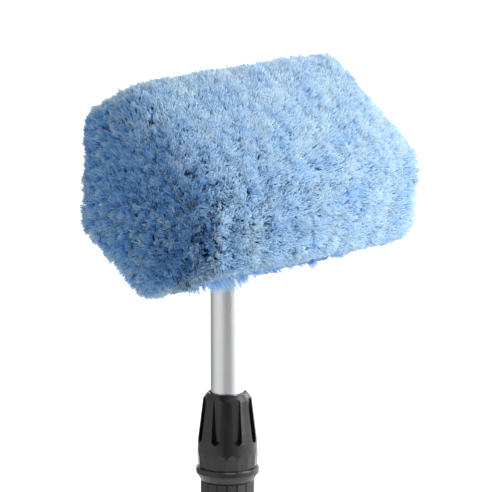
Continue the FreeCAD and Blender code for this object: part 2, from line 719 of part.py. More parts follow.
def back_cover():
    """Cover plate with the handle socket, which is threaded to match the pole's tip."""
    plate = in_row(cover_outline(0, 0))
    top = socket_mouth + socket_depth + SOCKET_END_WALL
    profile = [
        (0, socket_mouth),
        (boss_r - BOSS_CHAMFER, socket_mouth),
        (boss_r, socket_mouth + BOSS_CHAMFER),
        (boss_r, top),
        (0, top),
    ]
    boss = turned(profile)
    fit_x, fit_y = POCKET_HALF_LENGTH - COVER_GAP, pocket_half_width - COVER_GAP
    inside = box(fit_x, fit_y, -1, pocket_depth - COVER_GAP)
    outside = box(60, 60, -200, COVER_THICKNESS / 2)
    boss = boss.common(in_row(outside.fuse(inside)))
    bore_r = tip_thread_r - TIP_THREAD_DEPTH + THREAD_GAP
    bore = Part.makeCylinder(bore_r, socket_depth + 1, Vector(0, 0, socket_mouth - 1))
    seats = []
    for x, y in screw_places():
        seats.append(in_row(Part.makeCylinder(SCREW_HEAD_R, SCREW_HEAD_HEIGHT + 1, Vector(x, y, -1))))
        seats.append(in_row(Part.makeCylinder(SCREW_R, COVER_THICKNESS + 2, Vector(x, y, -1))))
    solid = plate.fuse(boss).cut([bore, *seats])
    foot = socket_mouth + TIP_PITCH / 2 - TIP_PITCH
    groove = ridge(bore_r, tip_thread_r + THREAD_GAP, TIP_PITCH, foot, socket_depth + TIP_PITCH / 2 - 1, 0.3)
    return solid.cut(groove)


def tuft_anchors():
    """The flat wire anchor at the bottom of every tuft hole."""
    anchors = []
    for group in tuft_groups().values():
        for root, direction in group:
            anchor = box(anchor_width / 2, ANCHOR_THICKNESS / 2, 0, ANCHOR_HEIGHT)
            anchor.Placement = Placement(root - direction * HOLE_DEPTH, Rotation(UP, direction))
            anchors.append(in_row(anchor))
    return anchors


def fan():
    """The trimmed outside of all the bristles: a rounded fan, drawn across the head and run along it."""
    corners = [
        Vector(0, FAN_BACK - fan_foot_half, 0),
        Vector(0, FAN_BACK - fan_wide_half, fan_wide_up),
        Vector(0, FAN_BACK - fan_face_half, fan_face_up),
        Vector(0, FAN_BACK + fan_face_half, fan_face_up),
        Vector(0, FAN_BACK + fan_wide_half, fan_wide_up),
        Vector(0, FAN_BACK + fan_foot_half, 0),
    ]
    outline = Part.Face(Part.makePolygon(corners + corners[:1])).makeOffset2D(FAN_ROUND)
    outline.translate(Vector(-fan_half_length, 0, 0))
    body = outline.extrude(Vector(2 * fan_half_length, 0, 0))
    ends = [e for e in body.Edges if abs(abs(e.CenterOfMass.x) - fan_half_length) < 0.01]
    return body.makeFillet(FAN_ROUND - 1, ends)


def wedge(points):
    """An upright prism over a polygon in x and y, tall enough for the whole head."""
    corners = [Vector(x, y, -100) for x, y in points]
    return Part.Face(Part.makePolygon(corners + corners[:1])).extrude(Vector(0, 0, 400))


def tuft_foot(root, direction):
    """The part of a tuft that fills its hole, down to the anchor, and a little of it outside."""
    length = HOLE_DEPTH - ANCHOR_HEIGHT - TUFT_GAP
    return Part.makeCylinder(HOLE_R - TUFT_GAP, length + 3, root - direction * length, direction)


def bristle_banks():
    """The five banks: the fan without the block, parted along planes through the block's edges."""
    under = frustum(BLOCK_HALF_LENGTH, BLOCK_HALF_WIDTH, 0, 60 * FAN_SKIRT, -60)
    mass = fan().cut([block_outer(), under])
    above = frustum(top_half_length, top_half_width, BLOCK_HEIGHT, 150 * FAN_SPLAY, BLOCK_HEIGHT + 150)
    rest = mass.cut(above)
    corner = BLOCK_HALF_LENGTH - BLOCK_HALF_WIDTH
    far = 150.0
    cells = {
        "bristles_front": wedge([(-corner, 0), (corner, 0), (corner + far, -far), (-corner - far, -far)]),
        "bristles_back": wedge([(-corner, 0), (corner, 0), (corner + far, far), (-corner - far, far)]),
        "bristles_left_end": wedge([(-corner, 0), (-corner - far, far), (-corner - far, -far)]),
        "bristles_right_end": wedge([(corner, 0), (corner + far, far), (corner + far, -far)]),
    }
    banks = {"bristles_main": mass.common(above)}
    for name, cell in cells.items():
        banks[name] = rest.common(cell)
    for name, roots in tuft_groups().items():
        banks[name] = in_row(banks[name].fuse([tuft_foot(*root) for root in roots]))
    return banks


# ---------------------------------------------------------------- write the parts
def nodes():
    made = {
        "end_cap": end_cap(),
        "cap_rivets": cap_rivets(),
        "outer_tube": outer_tube(),
        "grip": grip(),
        "lock_body": lock_body(),
        "body_pins": body_pins(),
        "lock_nut": lock_nut(),
        "wiper_ring": wiper_ring(),
        "collet": collet(),
        "glide_ring": glide_ring(),
        "inner_tube": inner_tube(),
        "inner_guide": inner_guide(),
        "guide_pins": guide_pins(),
        "pole_tip": pole_tip(),
        "tip_rivet": tip_rivet(),
        "socket_washer": socket_washer(),
        "tuft_block": in_row(tuft_block()),
        "back_cover": back_cover(),
        "cover_screws": cover_screws(),
        "tuft_anchors": tuft_anchors(),
    }
    made.update(bristle_banks())
    return made


def solids_in(shape):
    parts = shape if isinstance(shape, list) else [shape]
    return [solid for part in parts for solid in part.Solids]


def main():
    os.makedirs("parts", exist_ok=True)
    for name, shape in nodes().items():
        found = solids_in(shape)
        whole = found[0] if len(found) == 1 else Part.makeCompound(found)
        whole.exportStep("parts/" + name + ".step")
        state = "sound" if all(solid.isValid() and solid.Volume > 0 for solid in found) else "NOT SOUND"
        print(name, len(found), "solids", state, round(whole.Volume / 1000, 1), "cm3")


main()
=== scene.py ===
"""Telescopic wash brush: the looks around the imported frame, in metres, +Z up along the pole."""

import math

import bpy
import numpy as np
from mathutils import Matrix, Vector
from mathutils.bvhtree import BVHTree


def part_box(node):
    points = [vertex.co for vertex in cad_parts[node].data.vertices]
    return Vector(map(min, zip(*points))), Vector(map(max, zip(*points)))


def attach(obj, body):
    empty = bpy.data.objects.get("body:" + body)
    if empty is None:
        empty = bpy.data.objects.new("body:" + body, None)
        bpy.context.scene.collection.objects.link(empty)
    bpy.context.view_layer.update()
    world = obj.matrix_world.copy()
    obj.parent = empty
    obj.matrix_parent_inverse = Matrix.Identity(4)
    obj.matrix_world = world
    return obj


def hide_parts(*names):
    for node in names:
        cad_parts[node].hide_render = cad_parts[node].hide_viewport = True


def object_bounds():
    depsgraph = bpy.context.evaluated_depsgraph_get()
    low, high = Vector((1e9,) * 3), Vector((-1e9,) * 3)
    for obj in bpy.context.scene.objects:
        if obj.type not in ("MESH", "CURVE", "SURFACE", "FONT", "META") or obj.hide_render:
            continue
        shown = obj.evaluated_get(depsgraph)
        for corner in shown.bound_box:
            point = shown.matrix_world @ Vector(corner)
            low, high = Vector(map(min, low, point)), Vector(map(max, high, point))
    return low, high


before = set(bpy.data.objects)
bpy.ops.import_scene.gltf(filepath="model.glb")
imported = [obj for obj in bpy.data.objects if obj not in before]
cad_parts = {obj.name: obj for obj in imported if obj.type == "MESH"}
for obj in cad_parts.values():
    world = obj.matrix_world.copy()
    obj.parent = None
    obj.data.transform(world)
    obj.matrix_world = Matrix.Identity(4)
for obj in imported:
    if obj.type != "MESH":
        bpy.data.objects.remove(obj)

CAD_BOX = [list(corner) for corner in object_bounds()]
MM = 0.001
rng = np.random.default_rng(41)

# ---------------------------------------------------------------- sizes
# A wave is its height, its main wavelength and its seed.

# tufts, as they are set in the block
BANKS = ["bristles_main", "bristles_front", "bristles_back", "bristles_left_end", "bristles_right_end"]
HOLE_DEPTH = 8.0 * MM
ANCHOR_HEIGHT = 1.8 * MM
ANCHOR_CORNERS = 8
LOWEST_MOUTH_UP = 11.25 * MM  # the lowest tuft holes above the block's back plane
ROOT_DEPTH = 1.0 * MM  # how far into its hole a filament is drawn
FLOW_BLEND = 9.0 * MM  # how far the lean of neighbouring tufts is evened out
FAN_FROM = 0.5  # filaments fan out as if from this share of the way along their tuft

# flagged filament ends, in clumps of closed slips: real split ends are a few hundredths of a millimetre
# wide, and the slips are as coarse as they need to be to show
CLUMPS = 64000
CLUMP_STRANDS = 5
CLUMP_TIP_SPREAD = 1.0 * MM
CLUMP_ROOT_SPREAD = 0.6 * MM
CLUMP_SCATTER = 0.16  # of their directions, as is the sag
CLUMP_SAG = 0.04
LEAST_FACING = 0.12  # clumps that would lie flatter on the surface are left out
SWIRL = (0.22, 16.0 * MM)  # neighbouring clumps lean the same way, with a seed for each axis
SWIRL_SEEDS = (11, 12, 13)
STRAND_LENGTH = 9.0 * MM
STRAND_LENGTHS = (0.8, 1.2)  # shortest and longest, as shares of that
STRAND_ROOT_HALF = 0.36 * MM
STRAND_TIP_HALF = 0.24 * MM
STRAND_TIP_SLANT = 0.35 * MM
STRAND_UNEVEN = 0.6 * MM
STRAY_SHARE = 0.08
STRAY_LENGTH = 1.2 * MM

# the trimmed surface, measured from the plain outline of the bristle banks
SURFACE_RISE = 1.8 * MM
SURFACE_WAVES = ((0.8 * MM, 34.0 * MM, 3), (0.3 * MM, 11.0 * MM, 5))
END_WAVE = (2.8 * MM, 6.5 * MM, 7)  # the end faces and their corners are trimmed more coarsely
CORNER_ROUGHER = 1.2
END_SLANT = (0.55, 0.40)  # a normal's share along X where an end face begins, and how much more is full
CORNER_SLANT = (0.45, 0.22)  # that share in the middle of a corner, and its spread
EDGE_REACH = 24.0 * MM  # how near an edge the trimmed surface rounds off
EDGE_ROUND = 13.0 * MM
EDGE_SAMPLES = 2400
RIB_DEPTH = 1.0 * MM  # at RIB_HALF to the side of a tuft's axis, and it stops growing at RIB_WIDEST
RIB_HALF = 8.0 * MM
RIB_WIDEST = 1.2  # times that half
PARTING_DEPTH = 4.0 * MM  # where tufts lean apart
PARTING_FULL = 0.12  # how much they have to disagree for that depth
PARTING_EVEN = 0.35  # the share of it that is everywhere, and the wave adds the rest
PARTING_WAVE = (0.6, 9.0 * MM, 31)

# how far the front edge's underside is pressed up: height, from where along X, and over what length
UNDERCUT = ((7.0 * MM, -92.0 * MM, 14.0 * MM), (4.0 * MM, -15.0 * MM, 40.0 * MM))
UNDERCUT_FROM = 62.0 * MM  # height above the block's back plane where that starts
UNDERCUT_DEEP = 44.0 * MM  # and how much lower it is full
UNDERCUT_BACK = 30.0 * MM  # how far behind the tufts' middle it starts
UNDERCUT_RUN = 40.0 * MM  # and how much further forward it is full
UNDERCUT_BEND = 1.6  # how it grows along a filament

# shades of the filaments: 0 is deep blue, 1 is pale; they differ at random, painted shade makes the end
# faces deeper, and painted light makes the corners and the ragged fringe paler
SHADE = 0.72
SHADE_WAVES = ((0.12, 30.0 * MM, 21), (0.08, 7.0 * MM, 22))
SHADE_SCATTER = 0.12
SHADE_LIMITS = (0.02, 0.98)
STRAND_SHADE_SCATTER = 0.07
# painted light: how much paler the corners beside the end faces are made
CORNER_PAINTED_LIGHT = 0.28
# painted shade: how much deeper the end faces are made, and the wave on that
END_PAINTED_SHADE = 0.42
END_PAINTED_SHADE_WAVE = (0.3, 8.0 * MM, 23)
END_TOP_UP = 65.0 * MM  # height above the block's back plane from where the painted shade on an end face fades, so that its top is paler again, as if lit from above
END_TOP_RUN = 50.0 * MM
END_TOP_SHARE = 0.7

# tuft bodies: fluted bundles, closed up to a share of their tuft's length, in deep shades and the darker
# root half of the filament's colours as painted shade inside the tufts
BUNDLE_SIDES = 20
BUNDLE_RINGS = 6
BUNDLE_SHARE = 0.62
BUNDLE_FOOT_R = 2.0 * MM
BUNDLE_WIDEST = 0.36  # of the mean distance to the three nearest tufts' ends
BUNDLE_FLARE = 1.2  # how the width grows along a bundle
BUNDLE_FLUTE = 0.16  # of the radius
BUNDLE_CROWN = 1.5 * MM
BUNDLE_SHADES = (0.05, 0.5)  # lowest and highest
BUNDLE_ALONG = 0.5  # how far up the filament's colours a bundle goes
FLUTE_SHADE = 0.02

# whole loose strands of the lowest rows
SKIRT_LEAN = 58.0  # degrees from the head's normal, from which a tuft has them
SKIRT_STRANDS = 100
SKIRT_POINTS = 5
SKIRT_SIDES = 3
SKIRT_R = 0.3 * MM
SKIRT_TAPER = 0.72
SKIRT_ROOT_SPREAD = 1.4 * MM
SKIRT_SPREAD = 5.0 * MM
SKIRT_FLARE = 1.3  # how the spread grows along a strand
SKIRT_DROOP = 1.5 * MM
SKIRT_BEND = 2.2  # how the droop grows along a strand
SKIRT_INNER_DROOP = 0.4  # of the outermost strands' droop, in the middle of a tuft
SKIRT_REACHES = (0.85, 0.97)  # shares of a tuft's length
SKIRT_SHADES = (0.42, 0.2)  # middle and spread
SKIRT_SIDE_SHADE = 0.004
SKIRT_ALONG = (0.15, 0.9)  # where on the filament's colours root and tip are
FRINGE_DROOP = 9.0 * MM  # at the left front corner, where the fringe hangs ragged
FRINGE_RUN = 40.0 * MM
FRINGE_UNEVEN = 0.08
# painted light: how much paler the ragged fringe at the left front corner is made
FRINGE_PAINTED_LIGHT = 0.22
RAGGED_WAVE = (1.3, 9.0 * MM, 51)

WAVE_COUNT = 14
CHUNK = 4000  # points worked on at a time


# ---------------------------------------------------------------- materials
MARK_SPAN = (0.3, 0.7)  # where nearly all of a noise lies


def srgb(code):
    """A hex colour as linear RGBA."""
    values = [int(code[i : i + 2], 16) / 255 for i in (1, 3, 5)]
    return [v / 12.92 if v <= 0.04045 else ((v + 0.055) / 1.055) ** 2.4 for v in values] + [1.0]


def new_material(name, colour, roughness, metallic=0.0):
    material = bpy.data.materials.new(name)
    material.use_nodes = True
    shader = material.node_tree.nodes["Principled BSDF"]
    shader.inputs["Base Color"].default_value = srgb(colour)
    shader.inputs["Roughness"].default_value = roughness
    shader.inputs["Metallic"].default_value = metallic
    return material, shader


def add(owner, kind, inputs=None, stops=None, **settings):
    """One node: inputs are values, or sockets to link from, and stops a ramp's places and linear colours."""
    tree = owner.node_tree
    node = tree.nodes.new(kind)
    for key, value in settings.items():
        setattr(node, key, value)
    for key, value in (inputs or {}).items():
        if isinstance(value, bpy.types.NodeSocket):
            tree.links.new(value, node.inputs[key])
        else:
            node.inputs[key].default_value = value
    if stops:
        elements = node.color_ramp.elements
        while len(elements) < len(stops):
            elements.new(0.5)
        for element, (place, colour) in zip(elements, stops):
            element.position = place
            element.color = colour
    return node


def pattern(material, size, stretch=(1.0, 1.0, 1.0), detail=2.0):
    """Noise fixed to the piece: a blotch of it is about size across, drawn out by stretch."""
    place = add(material, "ShaderNodeTexCoord")
    scale = [1 / (size * share) for share in stretch]
    fitted = add(material, "ShaderNodeMapping", {"Vector": place.outputs["Object"], "Scale": scale})
    inputs = {"Vector": fitted.outputs["Vector"], "Scale": 1.0, "Detail": detail}
    noise = add(material, "ShaderNodeTexNoise", inputs)
    return noise.outputs["Fac"]


def finish(material, shader, marks, colours, mark_roughness, grain, relief):
    """Colour and roughness follow the marks, and the relief in metres follows the grain."""
    start, end = MARK_SPAN
    stops = [(start, srgb(colours[0])), (end, srgb(colours[1]))]
    tint = add(material, "ShaderNodeValToRGB", {"Fac": marks}, stops)
    material.node_tree.links.new(tint.outputs["Color"], shader.inputs["Base Color"])
    low, high = mark_roughness
    span = {"Value": marks, "From Min": start, "From Max": end, "To Min": low, "To Max": high}
    dull = add(material, "ShaderNodeMapRange", span)
    material.node_tree.links.new(dull.outputs["Result"], shader.inputs["Roughness"])
    bump = add(material, "ShaderNodeBump", {"Height": grain, "Distance": relief, "Strength": 1.0})
    material.node_tree.links.new(bump.outputs["Normal"], shader.inputs["Normal"])
    return material


def anodised_tube():
    """Drawn aluminium, satin anodised: fine lines along the tube that blur its reflections sideways."""
    material, shader = new_material("drawn_anodised_aluminium", "#DCDDDE", 0.26, 1.0)
    # the real lines are a few hundredths of a millimetre apart, drawn coarser so that they show
    lines = pattern(material, 0.45 * MM, (1, 1, 260))
    cloud = pattern(material, 30 * MM, (1, 1, 3))
    both = add(material, "ShaderNodeMath", {0: lines, 1: cloud}, operation="ADD")
    half = add(material, "ShaderNodeMath", {0: both.outputs["Value"], 1: 0.5}, operation="MULTIPLY")
    tints = ("#D5D6D8", "#E2E3E4")
    return finish(material, shader, half.outputs["Value"], tints, (0.21, 0.31), lines, 0.006 * MM)


def gloss_abs():
    """Injection-moulded ABS from a polished tool: near-black, wet-looking, with faint handling marks."""
    material, shader = new_material("gloss_moulded_abs", "#0C0D0F", 0.2)
    shader.inputs["IOR"].default_value = 1.52
    marks = pattern(material, 7 * MM, (1, 1, 2.2), 6.0)
    ripple = pattern(material, 1.6 * MM)
    return finish(material, shader, marks, ("#0A0B0D", "#121316"), (0.14, 0.27), ripple, 0.004 * MM)


def satin_polypropylene(name, dark, light):
    """Moulded polypropylene from a spark-eroded tool: a fine even grain that turns the shine satin."""
    material, shader = new_material(name, dark, 0.42)
    shader.inputs["IOR"].default_value = 1.49
    marks = pattern(material, 12 * MM, detail=4.0)
    # the real grain is about a tenth of a millimetre, drawn coarser so that it shows
    grain = pattern(material, 0.55 * MM)
    return finish(material, shader, marks, (dark, light), (0.36, 0.5), grain, 0.03 * MM)


def elastomer_grip():
    """Moulded thermoplastic elastomer: dull and slightly velvety, greyer where hands have rubbed it."""
    material, shader = new_material("moulded_elastomer_grip", "#1C1D1F", 0.75)
    shader.inputs["Sheen Weight"].default_value = 0.12
    marks = pattern(material, 18 * MM, detail=5.0)
    grain = pattern(material, 0.6 * MM)
    return finish(material, shader, marks, ("#18191A", "#26272A"), (0.68, 0.84), grain, 0.05 * MM)


def acetal():
    """Moulded natural acetal: waxy off-white, a little light goes in, flow marks round the gate."""
    material, shader = new_material("moulded_natural_acetal", "#ECEAE2", 0.34)
    shader.inputs["IOR"].default_value = 1.48
    shader.inputs["Subsurface Weight"].default_value = 0.12
    shader.inputs["Subsurface Scale"].default_value = 1.0 * MM
    marks = pattern(material, 5 * MM, (1, 1, 2.5), 3.0)
    ripple = pattern(material, 0.9 * MM)
    return finish(material, shader, marks, ("#E6E3D9", "#F1EFE8"), (0.28, 0.42), ripple, 0.008 * MM)


def seal_rubber():
    """Cut nitrile rubber: dead matt black with dusty lighter patches."""
    material, shader = new_material("cut_nitrile_rubber", "#141414", 0.7)
    marks = pattern(material, 4 * MM, detail=5.0)
    grain = pattern(material, 0.35 * MM)
    return finish(material, shader, marks, ("#101010", "#1D1D1C"), (0.6, 0.8), grain, 0.03 * MM)


def zinc_plate():
    """Zinc-plated steel, blue passivated: a cool, finely crystalline metal that drifts towards straw."""
    material, shader = new_material("zinc_plated_steel", "#B9BEC4", 0.32, 1.0)
    marks = pattern(material, 2.5 * MM, detail=4.0)
    crystals = pattern(material, 0.3 * MM)
    return finish(material, shader, marks, ("#AEB6C0", "#C6C3B4"), (0.24, 0.4), crystals, 0.01 * MM)


def rivet_aluminium():
    """Upset aluminium: bright domed heads with the setting tool's small dents."""
    material, shader = new_material("upset_aluminium_rivet", "#CFD1D4", 0.3, 1.0)
    marks = pattern(material, 1.8 * MM, detail=4.0)
    return finish(material, shader, marks, ("#C4C6C9", "#D8D9DB"), (0.22, 0.38), marks, 0.03 * MM)


def brass_wire():
    """Drawn and flattened brass wire: warm, with darker tarnish in patches."""
    material, shader = new_material("flattened_brass_wire", "#C9A350", 0.3, 1.0)
    marks = pattern(material, 1.2 * MM, detail=4.0)
    roll_marks = pattern(material, 0.2 * MM)
    return finish(material, shader, marks, ("#A98338", "#D8B668"), (0.24, 0.4), roll_marks, 0.005 * MM)


def painted_floor():
    """Rolled matt wall paint: pale and even, with a faint roller stipple."""
    material, shader = new_material("matt_rolled_paint", "#F2F2F2", 0.8)
    marks = pattern(material, 300 * MM)
    stipple = pattern(material, 2.5 * MM)
    return finish(material, shader, marks, ("#F1F1F1", "#F4F4F4"), (0.76, 0.84), stipple, 0.02 * MM)


def filament():
    """Extruded polystyrene filament: glossy blue, darker and deeper towards the roots as painted shade of
    the dense pile, and pale and duller at its split ends, partly their own paleness and partly painted
    sheen.
    """
    material, shader = new_material("flagged_polystyrene_filament", "#2A6CC2", 0.42)
    place = add(material, "ShaderNodeUVMap", uv_map="OFBake")
    axes = add(material, "ShaderNodeSeparateXYZ", {"Vector": place.outputs["UV"]})
    along = {"Fac": axes.outputs["Y"]}
    deep = [(0.0, "#0D4AA6"), (0.50, "#2B84E0"), (0.85, "#60AEF6"), (1.0, "#92CCFA")]
    pale = [(0.0, "#2A74C0"), (0.40, "#62AEE8"), (0.70, "#A2D4F6"), (1.0, "#DCF0FC")]
    # painted shade and sheen: along each filament the colours run from deep blue at the root, for the shade
    # deep in the pile, to pale at the split ends, partly their own paleness and partly painted sheen
    deep_ramp = add(material, "ShaderNodeValToRGB", along, [(share, srgb(code)) for share, code in deep])
    pale_ramp = add(material, "ShaderNodeValToRGB", along, [(share, srgb(code)) for share, code in pale])
    # across the map a random tone mixes the two ramps, with painted shade pushing the end faces to the deep
    # one and painted light pushing the corners and fringe to the pale one
    span = {"Value": axes.outputs["X"], "From Min": 0.2, "From Max": 0.95}
    tone_and_painted_shading = add(material, "ShaderNodeMapRange", span)
    shades = {"Factor": tone_and_painted_shading.outputs["Result"], "A": deep_ramp.outputs["Color"], "B": pale_ramp.outputs["Color"]}
    mix = add(material, "ShaderNodeMix", shades, data_type="RGBA")
    material.node_tree.links.new(mix.outputs["Result"], shader.inputs["Base Color"])
    dull = {"Value": axes.outputs["Y"], "To Min": 0.38, "To Max": 0.55}
    split = add(material, "ShaderNodeMapRange", dull)
    material.node_tree.links.new(split.outputs["Result"], shader.inputs["Roughness"])
    shader.inputs["IOR"].default_value = 1.55
    shader.inputs["Sheen Weight"].default_value = 0.25
    shader.inputs["Sheen Roughness"].default_value = 0.4
    return material


# ---------------------------------------------------------------- mesh building
def bristle_piece(name, bodies, faces, shades, across, along, material):
    """A piece of many like bodies on the head, such as filaments.

    bodies holds each one's vertices (n, p, 3), and faces the triangles that they all have. In the UV map
    U is the body's shade plus the vertex's across, and V is the vertex's along.
    """
    count, size = bodies.shape[:2]
    triangles = (np.arange(count)[:, None, None] * size + faces).reshape(-1, 3)
    uvs = np.empty((count, *faces.shape, 2), np.float32)
    uvs[..., 0] = shades[:, None, None] + across[faces]
    uvs[..., 1] = along[faces]
    mesh = bpy.data.meshes.new(name)
    mesh.vertices.add(count * size)
    mesh.vertices.foreach_set("co", bodies.astype(np.float32).ravel())
    mesh.loops.add(triangles.size)
    mesh.loops.foreach_set("vertex_index", triangles.astype(np.int32).ravel())
    mesh.polygons.add(len(triangles))
    mesh.polygons.foreach_set("loop_start", np.arange(0, triangles.size, 3, dtype=np.int32))
    mesh.polygons.foreach_set("use_smooth", np.ones(len(triangles), bool))
    layer = mesh.uv_layers.new(name="OFBake")
    layer.uv.foreach_set("vector", uvs.ravel())
    mesh.update(calc_edges=True)
    mesh.validate()
    mesh.materials.append(material)
    piece = bpy.data.objects.new(name, mesh)
    bpy.context.scene.collection.objects.link(piece)
    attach(piece, "head")
    return piece


def bar_sides(sides, rings):
    """The side triangles of a bar whose vertices are listed ring after ring."""
    faces = []
    for ring in range(rings - 1):
        for side in range(sides):
            a, b = ring * sides + side, ring * sides + (side + 1) % sides
            faces += [(a, b, b + sides), (a, b + sides, a + sides)]
    return faces


def unit(vectors):
    return vectors / np.maximum(np.linalg.norm(vectors, axis=-1, keepdims=True), 1e-12)


def side_frames(axes, turn):
    """Two unit vectors square to each axis, turned about it."""
    helper = np.where(np.abs(axes[:, 2:3]) < 0.9, [[0.0, 0.0, 1.0]], [[1.0, 0.0, 0.0]])
    first = unit(np.cross(axes, helper))
    second = np.cross(axes, first)
    c, s = np.cos(turn)[:, None], np.sin(turn)[:, None]
    return first * c + second * s, second * c - first * s


def random_turns(count):
    return rng.uniform(0, 2 * math.pi, count)


def smooth_step(values):
    share = np.clip(values, 0, 1)
    return share * share * (3 - 2 * share)


def waves(points, height, wavelength, seed):
    """Smooth noise from about -height to height with one main wavelength."""
    own = np.random.default_rng(seed)
    ways = unit(own.normal(size=(WAVE_COUNT, 3)))
    numbers = 2 * math.pi / (wavelength * own.uniform(0.75, 1.4, WAVE_COUNT))
    phases = own.uniform(0, 2 * math.pi, WAVE_COUNT)
    total = np.sin(points @ (ways * numbers[:, None]).T + phases).sum(1)
    return height * (total * math.sqrt(2.0 / WAVE_COUNT) * 0.6)


# ---------------------------------------------------------------- tufts, from the frame
def node_triangles(name):
    """A CAD node's triangles as (n, 3, 3)."""
    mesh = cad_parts[name].data
    points = np.empty(len(mesh.vertices) * 3, np.float32)
    mesh.vertices.foreach_get("co", points)
    mesh.calc_loop_triangles()
    corners = np.empty(len(mesh.loop_triangles) * 3, np.int32)
    mesh.loop_triangles.foreach_get("vertices", corners)
    return points.reshape(-1, 3)[corners].reshape(-1, 3, 3).astype(float)


def read_tufts():
    """Each tuft's mouth and direction, from its wire anchor, whose middle side runs along the hole."""
    corners = np.unique(np.round(node_triangles("tuft_anchors").reshape(-1, 3), 6), axis=0)
    block_low, block_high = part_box("tuft_block")
    middle = np.array((block_low + block_high) / 2)
    free = np.ones(len(corners), bool)
    mouths, directions = [], []
    for i in range(len(corners)):
        if not free[i]:
            continue
        gaps = np.linalg.norm(corners - corners[i], axis=1)
        group = np.argsort(np.where(free, gaps, 1e9))[:ANCHOR_CORNERS]
        free[group] = False
        centre = corners[group].mean(0)
        direction = np.linalg.svd(corners[group] - centre)[2][1]
        if direction @ (centre - middle) < 0:
            direction = -direction
        mouths.append(centre + direction * (HOLE_DEPTH - ANCHOR_HEIGHT / 2))
        directions.append(direction)
    return np.array(mouths), np.array(directions)


def trimmed_surface():
    """The outer triangles of the bristle banks, their normals, areas and bank, and a tree of them all."""
    banks = [node_triangles(name) for name in BANKS]
    triangles = np.concatenate(banks)
    owner = np.repeat(np.arange(len(BANKS)), [len(bank) for bank in banks])
    corners = triangles.reshape(-1, 3)
    faces = [(i, i + 1, i + 2) for i in range(0, len(corners), 3)]
    tree = BVHTree.FromPolygons([Vector(corner) for corner in corners], faces)
    cross = np.cross(triangles[:, 1] - triangles[:, 0], triangles[:, 2] - triangles[:, 0])
    areas = np.linalg.norm(cross, axis=1) / 2
    normals = cross / np.maximum(2 * areas[:, None], 1e-15)
    outer = [
        area > 1e-10 and tree.ray_cast(Vector(centre + normal * 0.4 * MM), Vector(normal))[0] is None
        for centre, normal, area in zip(triangles.mean(1), normals, areas)
    ]
    outer = np.array(outer)
    return triangles[outer], normals[outer], areas[outer], owner[outer], tree


def last_hit(tree, start, direction):
    """How far a ray from inside the bristles goes until it leaves them for the last time."""
    place, reach, step = Vector(start), 0.0, 1e-5
    for _ in range(20):
        hit, _, _, distance = tree.ray_cast(place, Vector(direction))
        if hit is None:
            break
        reach += distance + step
        place = hit + Vector(direction) * step
    return reach


mouths, directions = read_tufts()
head_normal = unit(directions.mean(0))
head_back = np.cross(head_normal, [1.0, 0.0, 0.0])
outer_triangles, outer_normals, outer_areas, outer_owner, bank_tree = trimmed_surface()
reaches = np.array([last_hit(bank_tree, *tuft) for tuft in zip(mouths, directions)])
tuft_ends = mouths + directions * reaches[:, None]


def scatter(count):
    """Points spread evenly over the trimmed surface, with normals and their bank."""
    chance = outer_areas / outer_areas.sum()
    chosen = rng.choice(len(outer_triangles), count, p=chance)
    a, b = rng.random((2, count))
    flip = a + b > 1
    a[flip], b[flip] = 1 - a[flip], 1 - b[flip]
    t = outer_triangles[chosen]
    points = t[:, 0] + a[:, None] * (t[:, 1] - t[:, 0]) + b[:, None] * (t[:, 2] - t[:, 0])
    return points, outer_normals[chosen], outer_owner[chosen]


def in_chunks(points):
    return np.array_split(points, max(1, len(points) // CHUNK))


def height_up(points):
    """Height above the block's back plane, along the head's normal."""
    return points @ head_normal - (mouths @ head_normal).min() + LOWEST_MOUTH_UP


def undercut(points):
    """How far filaments are pressed up along the head's normal under its front edge, more to the right."""
    low = smooth_step((UNDERCUT_FROM - height_up(points)) / UNDERCUT_DEEP)
    front = smooth_step((UNDERCUT_BACK - (points - mouths.mean(0)) @ head_back) / UNDERCUT_RUN)
    press = sum(height * smooth_step((points[:, 0] - start) / run) for height, start, run in UNDERCUT)
    return press * low * front


def edge_sink(points):
    """How far the surface rounds off near an edge, from how much the normals about each point disagree."""
    places, normals, _ = scatter(EDGE_SAMPLES)
    sinks = []
    for part in in_chunks(points):
        gap = np.linalg.norm(part[:, None, :] - places[None], axis=2)
        weight = np.exp(-((gap / EDGE_REACH) ** 2) * 2)
        mean = (weight @ normals) / weight.sum(1, keepdims=True)
        sinks.append(EDGE_ROUND * (1 - np.linalg.norm(mean, axis=1)))
    return np.concatenate(sinks)


def flow(points):
    """The filaments' lean at each point, the nearest tuft, and how strongly the tufts part there."""
    leans, nearest, parting = [], [], []
    for part in in_chunks(points):
        offset = part[:, None, :] - mouths[None]
        along = (offset * directions[None]).sum(2)
        across = np.linalg.norm(offset - along[..., None] * directions[None], axis=2)
        across[along < 0] = 1.0
        further = (across - across.min(1, keepdims=True)) / FLOW_BLEND
        weight = np.exp(-(further**2) - 2 * further)[..., None]
        distance = np.linalg.norm(offset, axis=2, keepdims=True)
        aim = unit(offset - FAN_FROM * distance * directions[None])
        leans.append(unit((aim * weight).sum(1) / weight.sum(1)))
        own = (directions[None] * weight).sum(1) / weight.sum(1)
        parting.append(1 - np.linalg.norm(own, axis=1))
        nearest.append(across.argmin(1))
    return np.concatenate(leans), np.concatenate(nearest), np.concatenate(parting)


# ---------------------------------------------------------------- flagged ends
def ends_and_corners(normals, owner):
    """How much each point belongs to an end face, and to the corners beside it."""
    slant = np.abs(normals[:, 0])
    start, more = END_SLANT
    middle, spread = CORNER_SLANT
    ends = smooth_step((slant - start) / more)
    corners = np.exp(-(((slant - middle) / spread) ** 2)) * (owner != BANKS.index("bristles_main"))
    return ends, corners


